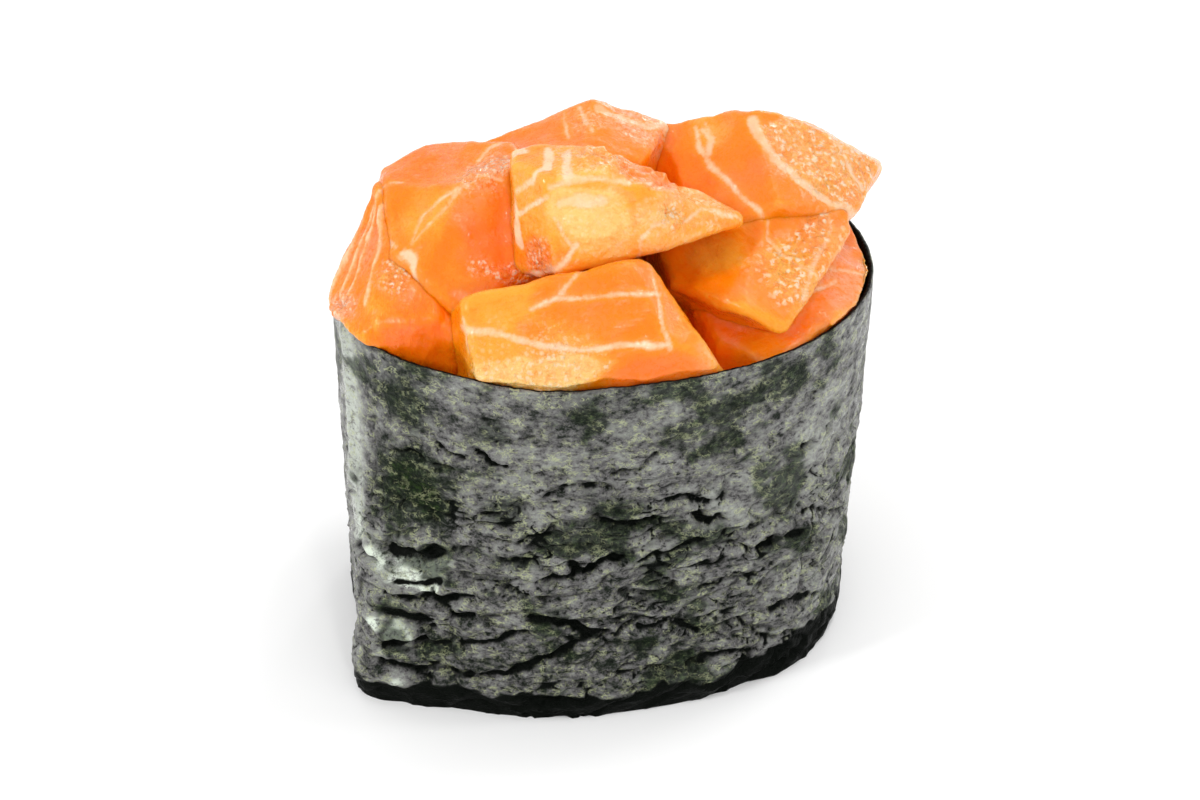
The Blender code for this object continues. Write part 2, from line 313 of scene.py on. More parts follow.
# Patches: pixel, radius in pixels, and what they add to tone_and_shade (+ paler, - deeper), pink, pebble and
# raggedness. Some deeper patches are painted shade, in pits and under other blocks, and one paler patch is painted
# light on shaded flesh.
PATCHES = {
    "salmon_left_top": [((445, 158), 60, -0.1, 0.0, 0.1, 0), ((478, 180), 28, 0.0, 0.40, 0.7, 0.5), ((420, 215), 36, 0.6, 0, 0, 0), ((430, 160), 56, -0.6, 0, 0, 0),
                        # (505, 240) is painted shade cast by the centre block
                        ((505, 240), 50, -0.75, 0, 0, 0), ((455, 280), 24, 0.25, 0, 0, 0), ((400, 230), 22, 0.2, 0.05, 0, 0),
                        ((470, 200), 26, 0.1, 0.25, 0, 0), ((480, 268), 14, 0.1, 0, 0.8, 0)],
    # (420, 348) is painted shade in the pit between the block and the rim
    "salmon_left_low": [((345, 308), 26, -0.1, 0.7, 1.0, 0.6), ((362, 250), 40, -0.7, 0.35, 0.1, 0), ((420, 348), 48, -0.95, 0, 0, 0),
                        ((395, 275), 22, 0.4, 0.05, 0.9, 0.2), ((380, 305), 26, 0.35, 0, 0, 0)],
    "salmon_front": [((555, 368), 46, 0.7, 0.1, 1.0, 0), ((500, 305), 34, 0.6, 0, 0, 0), ((690, 330), 40, 0.35, 0, 0, 0),
                     # (640, 378) is painted shade on the undercut lower front
                     ((712, 362), 22, 0.1, 0.45, 0.2, 0), ((640, 378), 30, -0.5, 0, 0, 0), ((495, 360), 46, 0.85, 0, 0.3, 0),
                     ((590, 345), 40, 0.35, 0, 0, 0),
                     ((620, 285), 30, 0.0, 0, 0.1, 0), ((590, 320), 34, -0.15, 0.1, 0, 0)],
    "salmon_centre": [((520, 200), 45, 0.45, 0.1, 0.2, 0.2), ((575, 208), 40, 0.45, 0, 0, 0), ((610, 222), 40, 0.25, 0, 0, 0), ((588, 188), 34, 0.45, 0, 0.1, 0),
                      ((540, 258), 24, -0.9, 0.35, 1.0, 0.5), ((675, 195), 22, 0.0, 0.6, 0.3, 0.3), ((672, 216), 20, 0.3, 0.1, 1.0, 0.5),
                      ((650, 225), 26, 0.5, 0.1, 0.3, 0.1), ((600, 245), 34, 0.35, 0, 0, 0), ((612, 160), 36, -0.35, 0.3, 0.7, 1.0),
                      # (655, 178) is torn flesh with painted shade in the crevice next to the back block
                      ((655, 178), 28, -0.8, 0.1, 0.4, 1.0), ((720, 235), 30, -0.5, 0, 0, 0), ((655, 250), 24, -0.5, 0, 0, 0)],
    "salmon_back": [((640, 125), 45, -0.2, 0.8, 0.4, 0.3), ((545, 145), 45, -0.4, 0.12, 0, 0), ((588, 120), 25, 0.2, 0.3, 0.5, 0.3)],
    "salmon_right_top": [((710, 133), 25, 0.6, 0.15, 0.1, 0), ((810, 165), 50, 0.15, 0.20, 0.8, 0.3), ((870, 172), 20, -0.1, 0.25, 0.5, 0.4),
                         # (690, 175) is painted shade on the lower part of the block's left face
                         ((755, 165), 45, -0.4, 0.05, 0, 0), ((690, 175), 34, -0.6, 0, 0, 0), ((760, 205), 30, 0.2, 0, 0, 0)],
    # (712, 252) is painted light on flesh shaded by the centre block
    "salmon_right_flap": [((712, 252), 40, 0.85, 0, 0, 0), ((785, 268), 40, 0.75, 0, 1.0, 0.4), ((828, 232), 25, 0.4, 0.2, 0.7, 0.3),
                          ((745, 300), 35, 0.15, 0, 0, 0)],
    # (725, 320) is painted shade in the pit under the flap
    "salmon_right_low": [((845, 285), 45, 0.05, 0.6, 0.2, 0), ((725, 320), 55, -1.0, 0, 0, 0), ((800, 335), 40, -0.35, 0.2, 0, 0)],
}
# Cut faces that differ from their surroundings with a clear edge: outline in pixels, softness in pixels, then as above.
# One deeper face, an undercut, is painted shade, and one paler face is partly a painted highlight.
FACETS = {
    "salmon_centre": [([(549, 196), (556, 188), (612, 190), (627, 197), (634, 218), (630, 246), (612, 256), (588, 260), (573, 248), (553, 218)], 6.0, 0.30, 0, 0.25, 0),
                      # the second outline paints the upper part of the cream face paler, partly a painted highlight
                      ([(549, 194), (556, 187), (612, 190), (630, 198), (634, 222), (600, 236), (566, 234), (551, 214)], 2.0, 0.45, 0, 0.1, 0),
                      ([(636, 222), (640, 205), (656, 196), (690, 192), (712, 196), (738, 217), (712, 236), (672, 252), (640, 252)], 4.0, 0.35, 0.25, 0.35, 0),
                      ([(552, 146), (572, 140), (600, 142), (616, 152), (620, 172), (600, 176), (556, 180)], 4.0, 0.5, 0, 0.5, 0.2)],
    "salmon_right_top": [([(757, 126), (787, 117), (814, 128), (854, 143), (880, 164), (872, 182), (848, 214), (826, 204), (796, 186), (776, 165)], 4.0, 0.75, 0.1, 1.0, 0.15)],
    "salmon_right_flap": [([(778, 250), (800, 222), (826, 212), (838, 222), (826, 260), (802, 312), (776, 306), (762, 286)], 6.0, 0.25, 0, 1.0, 0.3)],
    "salmon_front": [([(470, 334), (521, 344), (577, 352), (656, 345), (602, 374), (577, 392), (510, 388), (472, 376)], 3.5, 0.75, 0, 0.9, 0),
                     # the second outline is an undercut face painted deeper: painted shade
                     ([(606, 378), (664, 348), (676, 346), (716, 372), (716, 384), (604, 392)], 4.0, -0.55, 0.1, 0, 0)],
    "salmon_left_low": [([(398, 268), (412, 276), (408, 300), (392, 300), (384, 282)], 5.0, 0.2, 0, 1.0, 0.3)],
    "salmon_left_top": [([(470, 166), (500, 152), (510, 158), (506, 180), (480, 184), (456, 182)], 4.0, 0.1, 0.5, 0.9, 0.4),
                        ([(488, 268), (540, 262), (556, 276), (530, 286), (490, 284)], 4.0, 0.1, 0, 0.8, 0)],
}
# Each block's muscle fibres run this way: degrees round Z, then how much they show.
GRAIN = {
    "salmon_front": ((0, 0, 12), 0.35), "salmon_left_top": ((0, 15, 60), 0.35), "salmon_centre": ((0, 0, 20), 0.45),
    "salmon_back": ((0, 0, -20), 0.4), "salmon_right_top": ((0, 10, 40), 0.4), "salmon_right_flap": ((0, 20, -50), 0.45),
    "salmon_right_low": ((0, 0, 10), 0.4), "salmon_left_low": ((0, -62, 75), 1.0), "salmon_back_left": ((0, 0, 30), 0.6),
    "salmon_back_right": ((0, 0, -30), 0.6),
}
SEEDS = {name: 11 + 7 * i for i, name in enumerate(sorted(GRAIN))}


def fine_copy(name, voxel):
    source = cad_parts[name]
    work = bpy.data.objects.new("work", source.data.copy())
    SCENE.collection.objects.link(work)
    weld = work.modifiers.new("weld", "WELD")
    weld.merge_threshold = 1e-6
    remesh = work.modifiers.new("remesh", "REMESH")
    remesh.mode, remesh.voxel_size = "VOXEL", voxel * MM
    smooth = work.modifiers.new("smooth", "SMOOTH")
    smooth.factor, smooth.iterations = 0.5, 2
    mesh = bpy.data.meshes.new_from_object(work.evaluated_get(bpy.context.evaluated_depsgraph_get()))
    bpy.data.objects.remove(work)
    mesh.materials.clear()
    mesh.name = name
    mesh.shade_smooth()
    return mesh


def far_from(points, way):
    """Distance from points to a line of several stretches."""
    best = np.full(len(points), 1e9)
    for a, b in zip(way, way[1:]):
        ab = b - a
        t = np.clip((points - a) @ ab / max(ab @ ab, 1e-9), 0, 1)
        best = np.minimum(best, np.linalg.norm(points - a - t[:, None] * ab, axis=1))
    return best


def curtain(points, path, depth):
    """Distance in millimetres from points to the sheet that hangs a little way from the path along depth."""
    depth = depth / np.linalg.norm(depth)
    spread = (points - path.mean(0)) @ depth
    reach = np.abs((path - path.mean(0)) @ depth).max() + 1.2
    return far_from(points - np.outer(points @ depth, depth), path - np.outer(path @ depth, depth)) + np.maximum(0, np.abs(spread) - reach)


def smoothed(values, edges, rounds):
    """Each value moved to the mean of its neighbours' so many times."""
    a, b = np.r_[edges[:, 0], edges[:, 1]], np.r_[edges[:, 1], edges[:, 0]]
    count = np.maximum(np.bincount(a, minlength=len(values)), 1)
    for _ in range(rounds):
        near = np.stack([np.bincount(a, values[b, k], len(values)) for k in range(values.shape[1])], 1) / count[:, None]
        values = 0.4 * values + 0.6 * near
    return values


def edges_of(mesh):
    pairs = np.zeros(len(mesh.edges) * 2, np.int32)
    mesh.edges.foreach_get("vertices", pairs)
    return pairs.reshape(-1, 2)


def far_from_others(name, points):
    """Distance in millimetres to the nearest other block."""
    corners, sides = [], []
    for other in GRAIN:
        if other != name:
            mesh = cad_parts[other].data
            start = len(corners)
            corners += [v.co / MM for v in mesh.vertices]
            sides += [tuple(start + i for i in f.vertices) for f in mesh.polygons]
    tree = BVHTree.FromPolygons(corners, sides)
    return np.array([(tree.find_nearest(Vector(q), 3.5)[3] or 3.5) for q in points])


def seen_on(tree, u, v):
    """Where a pixel's line of sight meets a mesh, or passes nearest to it, in millimetres."""
    way = line_of_sight(u, v)
    hit, normal, _, _ = tree.ray_cast(Vector(EYE), Vector(way))
    if hit is None:
        best = None
        for t in np.linspace(150, 240, 46):
            spot = EYE + way * t
            near, normal_near, _, far = tree.find_nearest(Vector(spot))
            if best is None or far < best[2]:
                best = (near, normal_near, far)
        hit, normal = best[0], best[1]
    return np.array(hit), np.array(normal)


def block(name):
    mesh = fine_copy(name, VOXEL)
    seed = SEEDS[name]
    slow, fast = Noise(seed), Noise(seed + 1)
    p, n = points_of(mesh), normals_of(mesh)
    tree = BVHTree.FromPolygons([Vector(q) for q in p], [tuple(f.vertices) for f in mesh.polygons])
    # the cut edges wander
    warp = np.stack([slow(p / 4.6 + 31 * k) for k in range(3)], 1) * 0.28 + np.stack([fast(p / 1.9 + 57 * k) for k in range(3)], 1) * 0.10
    fat, white = np.full(len(p), -1.0), np.full(len(p), 0.6)
    wander = fast(p / 1.3) * 0.13 + fast(p / 0.5 + 9) * 0.04
    for half, strength, pixels in VEINS.get(name, []):
        hits = [seen_on(tree, *pixel) for pixel in pixels]
        path = np.array([h[0] for h in hits])
        depth = sum(h[1] for h in hits)
        swell = half * (1 + 0.45 * slow(p / 2.1 + 5))
        away = np.abs(curtain(p, path, depth) + wander)
        here = np.minimum(swell - away, half)
        white = np.where(here > fat, strength, white)
        fat = np.maximum(fat, here)
    tone_and_shade, pink, pebble, ragged = (np.zeros(len(p)) for _ in range(4))
    pairs = edges_of(mesh)
    crown = smoothed(((p - smoothed(p, pairs, 26)) * n).sum(1)[:, None], pairs, 2)[:, 0]
    contact = far_from_others(name, p)
    # convex edges are painted paler, partly painted rim light, and flesh close to another block is painted deeper:
    # painted shade between the blocks
    tone_and_shade += 0.50 * step(0.04, 0.26, crown + 0.03 * fast(p / 0.9)) - 0.45 * (1 - step(0.2, 2.6, contact + 0.4 * slow(p / 2 + 40)))
    for pixel, radius, *adds in PATCHES.get(name, []):
        spot, _ = seen_on(tree, *pixel)
        share = 1 - step(0.25, 1.15, np.linalg.norm(p - spot, axis=1) / (radius / 10.7) + 0.25 * slow(p / 2.5 + 3))
        tone_and_shade = tone_and_shade + share * adds[0]
        pink, pebble, ragged = (np.maximum(old, share * new) for old, new in zip((pink, pebble, ragged), adds[1:]))
    pixels = pixels_of(p) + np.stack([slow(p / 1.7 + 61), slow(p / 1.7 + 91)], 1) * 3.0 + np.stack([fast(p / 0.7 + 61), fast(p / 0.7 + 91)], 1) * 1.0
    for outline, soft, *adds in FACETS.get(name, []):
        share = step(-soft, soft, depth_inside(pixels, outline)) * step(-0.15, 0.15, n @ BACK)
        tone_and_shade = tone_and_shade + share * adds[0]
        pink, pebble, ragged = (np.maximum(old, share * new) for old, new in zip((pink, pebble, ragged), adds[1:]))
    # faces the photograph doesn't show get fat sheets of their own
    turned = step(0.0, 0.4, -(n @ BACK))
    axis = np.array([math.cos(seed), math.sin(seed), 0.35 * math.sin(3 * seed)])
    run = p @ axis / np.linalg.norm(axis) + 0.9 * slow(p / 6) + wander
    spacing = 4.3
    away = np.abs((run / spacing) % 1 - 0.5) * spacing
    fat = np.maximum(fat, (0.22 * (1 + 0.6 * slow(p / 3)) - away) - (1 - turned) * 3.0)
    pink = np.maximum(pink, turned * 0.25 * step(0.1, 0.6, slow(p / 3.3 + 8)))
    pebble = np.maximum(pebble, turned * 0.4 * step(0.0, 0.5, slow(p / 3.9 + 18)))
    lift = 0.20 + 0.16 * slow.sum(p / 3.4 + 3, 2) + 0.04 * fast.sum(p / 1.1, 3) + 0.03 * pebble * fast(p / 0.5 + 4)
    lift += (0.16 if name == "salmon_left_low" else -0.06) * step(-0.22, 0.12, fat)
    torn = slow(p / 1.3 + 71)
    lift += ragged * (0.55 * (0.5 - np.abs(torn) * 1.6) + 0.24 * fast(p / 0.8 + 23))
    lift += 0.30 * (1 - step(0.3, 1.3, contact))  # soft flesh closes the gaps
    if name == "salmon_right_low":
        lift -= 0.55 * step(19.0, 23.5, p[:, 0])  # it has sunk away from the rim
    way, shows = GRAIN[name]
    axes = np.array(Matrix.Rotation(math.radians(way[2]), 3, "Z") @ Matrix.Rotation(math.radians(way[1]), 3, "Y"))
    local = p @ axes
    lift += 0.10 * shows * slow(local * (0.08, 0.9, 0.9)) + 0.05 * shows * fast(local * (0.12, 1.9, 1.9))
    set_points(mesh, p + warp + n * lift[:, None])
    for key, values in (("fat", fat), ("white", white), ("tone_and_shade", tone_and_shade), ("pink", pink), ("pebble", pebble)):
        set_attribute(mesh, key, values)
    made = bpy.data.objects.new(name + "_flesh", mesh)
    SCENE.collection.objects.link(made)
    mesh.materials.append(flesh(name))
    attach(made, "root")
    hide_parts(name)
    return made


DEEP, MIDDLE, PALE = (0.90, 0.160, 0.001), (0.83, 0.205, 0.001), (0.81, 0.33, 0.024)
CREAM, FAT, ROSE = (0.84, 0.51, 0.15), (0.84, 0.64, 0.45), (0.78, 0.38, 0.22)


def flesh(name):
    net = Net(name)
    turn, shows = GRAIN[name]
    fat, white, tone_and_shade, pink, pebble = (net.attribute(k) for k in ("fat", "white", "tone_and_shade", "pink", "pebble"))
    cloud = net.noise(net.stretched((0.25, 0.25, 0.25)), detail=3)
    fibre = net.noise(net.stretched((0.12, 1.5, 1.5), turn), detail=3, rough=0.6)
    fine = net.noise(net.stretched((0.35, 5.5, 5.5), turn), detail=2)
    grain = net.noise(net.stretched((2.6, 2.6, 2.6)), detail=3, rough=0.65)
    level = net.math("ADD", net.math("MULTIPLY_ADD", cloud, 0.9, -0.45), tone_and_shade)
    level = net.math("MULTIPLY_ADD", net.math("SUBTRACT", fibre, 0.5), 1.1 * shows, level)
    level = net.math("MULTIPLY_ADD", net.math("SUBTRACT", fine, 0.5), 1.4 * shows, level)
    level = net.math("MULTIPLY_ADD", net.math("SUBTRACT", grain, 0.5), 0.5, level)
    if name == "salmon_centre":
        level = net.math("ADD", level, 0.45)
    colour = net.mix(net.step(level, -0.9, 0.0), DEEP, MIDDLE)
    colour = net.mix(net.step(level, 0.0, 0.95), colour, PALE)
    colour = net.mix(net.step(level, 0.9, 1.9), colour, CREAM)
    rosy = net.math("MULTIPLY", pink, net.step(net.math("ADD", grain, net.math("MULTIPLY", fibre, 0.6)), 0.55, 1.0))
    colour = net.mix(rosy, colour, ROSE)
    size = 1.6 if name in ("salmon_right_top", "salmon_right_flap") else 2.3
    cells = net.node("ShaderNodeTexVoronoi", Vector=net.stretched((size, size, size)), Scale=1.0, Randomness=1.0)
    flecks = net.noise(net.stretched((1.9, 1.9, 1.9)), detail=3, rough=0.6, distortion=0.6)
    # cream flecks at the cell centres, partly painted glints
    fleck_and_glint = net.math("MULTIPLY", net.step(flecks, 0.47, 0.57), net.step(cells, 0.62, 0.30))
    colour = net.mix(net.math("MULTIPLY", net.math("MULTIPLY", fleck_and_glint, pebble), 0.62 if name == "salmon_front" else 0.85), colour, FAT)
    seam = net.math("MULTIPLY", net.step(flecks, 0.47, 0.38), net.math("MULTIPLY", pebble, 0.30 if name == "salmon_front" else 0.70))
    colour = net.mix(seam, colour, MIDDLE)
    ragged = net.math("MULTIPLY_ADD", net.math("SUBTRACT", grain, 0.5), 0.34, fat)
    line = net.step(ragged, -0.15, 0.19)
    line = net.math("MULTIPLY", line, net.step(net.noise(net.stretched((0.7, 0.7, 0.7)), detail=2), 0.32, 0.58, 0.68, 1.0))
    halo = net.math("MULTIPLY", net.step(fat, -0.55, 0.05), 0.30)
    colour = net.mix(halo, colour, PALE)
    colour = net.mix(net.math("MULTIPLY", line, net.math("MULTIPLY_ADD", white, 0.62, 0.30)), colour, FAT)
    shader = net.shader
    net.put(shader.inputs["Base Color"], colour)
    net.put(shader.inputs["Roughness"], net.step(grain, 0.3, 0.75, 0.22, 0.40))
    net.put(shader.inputs["Subsurface Weight"], 0.6)
    shader.inputs["Subsurface Radius"].default_value = (1.0, 0.55, 0.30)
    shader.inputs["Subsurface Scale"].default_value = 0.0016
    shader.inputs["Specular IOR Level"].default_value = 0.20
    shader.inputs["Coat Roughness"].default_value = 0.07
    crinkle = net.math("ABSOLUTE", net.math("SUBTRACT", net.noise(net.stretched((1.5, 1.5, 1.5)), detail=3, rough=0.55, distortion=0.5), 0.5))
    wet = net.step(net.noise(net.stretched((0.30, 0.30, 0.30)), detail=2), 0.48, 0.64)
    net.put(shader.inputs["Coat Weight"], net.math("MAXIMUM", net.math("MULTIPLY_ADD", wet, 0.55, 0.22), pebble, clamp=True))
    normal = net.bump(fibre, 0.14, 0.3 + 0.6 * shows)
    normal = net.bump(fine, 0.05, 0.6 * shows, normal)
    normal = net.bump(grain, 0.12, 0.35, normal)
    normal = net.bump(crinkle, -0.62, net.math("MAXIMUM", net.math("MULTIPLY", pebble, 1.0), net.math("MULTIPLY", wet, 0.30)), normal)
    normal = net.bump(cells, -0.22, net.math("MULTIPLY", pebble, 0.8), normal)
    normal = net.bump(line, -0.05, 0.6, normal)
    net.put(shader.inputs["Normal"], normal)
    net.put(shader.inputs["Coat Normal"], normal)
    return net.material


for part in sorted(GRAIN):
    block(part)

# ---------------------------------------------------------------- the seaweed band, as in the CAD source

RIM_HALF_LENGTH, RIM_HALF_WIDTH, RIM_SQUARENESS = 24.0, 18.45, 2.14
FOOT_HALF_LENGTH, FOOT_HALF_WIDTH, FOOT_SQUARENESS = 23.55, 17.9, 2.5
FOOT_SHIFT = (-0.8, -0.45)
BAND_HEIGHT, SHEET = 36.0, 0.5
OVERLAP_STEP, OVERLAP_FROM, OVERLAP_TO = 0.35, 68.0, 118.0


def superellipse(turn, half_length, half_width, squareness):
    c, s = np.cos(turn), np.sin(turn)
    return np.stack([half_length * np.sign(c) * np.abs(c) ** (2 / squareness), half_width * np.sign(s) * np.abs(s) ** (2 / squareness)], -1)


def bump(turn, middle, width):
    away = (np.degrees(turn) - middle + 180) % 360 - 180
    return np.exp(-((away / width) ** 2))


def wall_point(turn, z):
    up = np.minimum(z / BAND_HEIGHT, 1.0)
    ease = (up * up * (3 - 2 * up))[..., None]
    rim = superellipse(turn, RIM_HALF_LENGTH, RIM_HALF_WIDTH, RIM_SQUARENESS)
    foot = superellipse(turn, FOOT_HALF_LENGTH, FOOT_HALF_WIDTH, FOOT_SQUARENESS) + np.array(FOOT_SHIFT)
    flat = foot * (1 - ease) + rim * ease
    low = 1 - ease[..., 0]
    out = flat / np.linalg.norm(flat, axis=-1)[..., None]
    push = 3.2 * low**1.5 * bump(turn, 210, 13) + 0.35 * low * np.sin(3 * turn + 0.8) + 0.16 * np.sin(7 * turn + 5 * up) * low
    push = push - 0.45 * bump(turn, 196, 10) * np.exp(-(((z - 9) / 5) ** 2)) - 1.35 * ease[..., 0] * bump(turn, 159, 16)
    return flat + out * push[..., None]


def wall(turn, z, inset):
    along = wall_point(turn + 0.01, z) - wall_point(turn - 0.01, z)
    along /= np.linalg.norm(along, axis=-1)[..., None]
    side = np.stack([along[..., 1], -along[..., 0]], -1)
    flat = wall_point(turn, z) - side * np.asarray(inset)[..., None]
    return np.concatenate([flat, np.asarray(z, float)[..., None]], -1), np.concatenate([side, np.zeros_like(side[..., :1])], -1)


def rim_lift(turn):
    return -0.45 * bump(turn, 252, 13) + 0.16 * np.sin(2 * turn + 1.0) + 0.08 * np.sin(5 * turn)


def room_behind(z):
    """How far a crease may press into the rice behind the sheet, in millimetres."""
    return 1.4 * (1 - step(27, 30, z)) * step(0.8, 3.0, z)


def even_turns(count):
    """Angles that space points evenly along the rim."""
    many = np.linspace(0, 2 * math.pi, 4001)
    at = wall_point(many, np.full_like(many, 18.0))
    far = np.r_[0, np.cumsum(np.linalg.norm(np.diff(at, axis=0), axis=1))]
    return np.interp(np.linspace(0, far[-1], count, endpoint=False), far, many)


# Creases pressed into the sheet: half width and depth in millimetres, and the pixels they run through.
CREASES = [
    (0.22, 0.35, [(484, 443), (509, 440), (535, 437), (557, 433)]),
    (0.30, 0.60, [(476, 451), (485, 459), (491, 466), (502, 468)]),
    (0.28, 0.50, [(435, 441), (444, 450), (455, 456), (462, 458)]),
    (0.28, 0.45, [(390, 449), (410, 453), (426, 460), (444, 467), (459, 474)]),
    (0.26, 0.40, [(480, 417), (500, 418)]),
    (0.22, 0.35, [(526, 473), (541, 475)]),
    (0.28, 0.45, [(543, 498), (555, 492), (568, 488), (590, 487), (612, 488)]),
    (0.28, 0.45, [(480, 515), (509, 517)]),
    (0.50, 0.85, [(597, 516), (612, 523), (636, 525), (652, 519)]),
    (0.34, 0.60, [(671, 499), (692, 497), (708, 501)]),
    (0.50, 0.75, [(697, 514), (710, 523), (718, 518)]),
    (0.38, 0.90, [(760, 549), (771, 542), (775, 538)]),
    (0.34, 0.60, [(786, 535), (801, 530)]),
    (0.36, 0.95, [(803, 445), (812, 443)]),
    (0.24, 0.85, [(822, 440), (828, 431), (829, 424)]),
    (0.24, 0.40, [(808, 394), (819, 392)]),
    (0.20, 0.35, [(836, 468), (836, 488)]),
    (0.16, 0.18, [(723, 404), (756, 403), (777, 400)]),
    (0.40, 0.60, [(384, 594), (413, 599), (441, 598), (471, 597)]),
    (0.45, 0.80, [(452, 614), (471, 617)]),
    (0.50, 0.90, [(533, 621), (552, 623), (568, 625), (585, 634), (604, 637)]),
    (0.40, 0.60, [(568, 640), (576, 646), (559, 657), (533, 662), (506, 673), (478, 677), (450, 673)]),
    (0.40, 0.60, [(459, 644), (487, 643), (515, 635), (526, 633)]),
    (0.50, 0.85, [(384, 646), (404, 644), (422, 642)]),
    (0.45, 0.65, [(380, 662), (408, 668), (426, 677)]),
    (0.50, 0.90, [(570, 564), (585, 574), (604, 561), (620, 557)]),
    (0.34, 0.60, [(541, 583), (559, 579), (572, 575)]),
    (0.30, 0.50, [(493, 540), (515, 544), (543, 537), (554, 531)]),
    (0.30, 0.45, [(454, 550), (471, 551)]),
    (0.40, 0.60, [(353, 533), (363, 547), (375, 559)]),
    (0.45, 0.75, [(400, 578), (425, 582), (441, 580)]),
    (0.40, 0.55, [(640, 560), (672, 548), (700, 540)]),
    (0.40, 0.60, [(640, 628), (668, 622), (696, 632)]),
    (0.34, 0.50, [(700, 590), (728, 578), (752, 580)]),
    (0.34, 0.50, [(690, 665), (720, 655), (752, 650)]),
    (0.40, 0.60, [(770, 610), (795, 596), (816, 594)]),
    (0.30, 0.40, [(620, 592), (650, 596), (676, 588)]),
    (0.30, 0.45, [(740, 618), (765, 640), (790, 632)]),
    (0.30, 0.30, [(374, 352), (374, 420), (370, 500)]),
    (0.12, 0.14, [(473, 383), (474, 446)]),
    (0.30, 0.45, [(506, 590), (530, 597), (548, 600)]),
    (0.36, 0.50, [(620, 675), (650, 668), (676, 672)]),
    (0.36, 0.50, [(500, 560), (520, 566), (536, 560)]),
    (0.30, 0.40, [(655, 455), (640, 470), (612, 475)]),
    (0.30, 0.40, [(800, 505), (818, 512), (840, 508)]),
    (0.34, 0.50, [(735, 690), (770, 668), (800, 645)]),
    (0.75, 0.80, [(392, 553), (420, 556), (438, 552)]),
    (0.70, 0.60, [(386, 612), (405, 616), (425, 620)]),
]
RIDGES = [
    (0.70, 0.35, [(344, 335), (350, 400), (353, 470), (352, 525)]),
    (0.35, 0.28, [(391, 430), (416, 433)]),
    (0.55, 0.40, [(367, 552), (384, 552)]),
    (0.75, 0.85, [(391, 577), (412, 580), (436, 578)]),
    (0.55, 0.65, [(420, 548), (425, 562), (440, 560)]),
    (0.45, 0.60, [(391, 590), (415, 594)]),
    (0.55, 0.65, [(380, 629), (398, 634), (413, 637)]),
    (0.50, 0.40, [(384, 675), (409, 679)]),
    (0.50, 0.35, [(387, 652), (398, 651)]),
    (0.60, 0.30, [(693, 466), (719, 457), (756, 448), (778, 442), (800, 452)]),
    (0.60, 0.25, [(620, 440), (660, 436), (700, 420)]),
    (0.50, 0.30, [(660, 548), (690, 530), (715, 534)]),
    (0.50, 0.35, [(600, 545), (640, 540)]),
    (0.45, 0.30, [(790, 560), (820, 545)]),
    (0.50, 0.35, [(536, 690), (560, 686)]),
    (0.50, 0.30, [(640, 650), (665, 640)]),
]


# Stains, painted wet highlights and painted sheen on the sheet: pixel, radius in pixels, how much paler, how green. The
# palest spots low on the left are painted wet highlights, and the broad pale patches on the right painted sheen.
STAINS_AND_HIGHLIGHTS = [
    ((412, 490), 56, -0.9, 1.0), ((405, 400), 44, -0.6, 0.8), ((505, 512), 28, -0.2, 0.7), ((490, 430), 22, -0.2, 0.6), ((390, 560), 40, 0.9, 0.2),
    ((420, 570), 28, 1.8, 0.0), ((375, 552), 16, 1.5, 0.0), ((402, 636), 18, 1.7, 0.0), ((374, 620), 14, 1.4, 0.1), ((398, 680), 16, 1.4, 0.0),
    ((447, 561), 12, 1.0, 0.0), ((790, 480), 75, 0.40, 0.0), ((830, 420), 60, 0.45, 0.0), ((720, 500), 50, 0.4, 0.0), ((520, 460), 60, 0.1, 0.0),
    ((660, 560), 50, 0.15, 0.0), ((610, 660), 110, -0.40, 0.0), ((450, 660), 90, -0.45, 0.1), ((395, 630), 30, 0.6, 0.3), ((720, 640), 80, -0.1, 0.0),
    ((790, 670), 40, -0.8, 0.2), ((600, 400), 60, 0.0, 0.2), ((840, 520), 50, 0.3, 0.0),
    ((395, 610), 12, 1.2, 0.0), ((432, 590), 12, 1.2, 0.0), ((380, 655), 10, 1.1, 0.0),
]


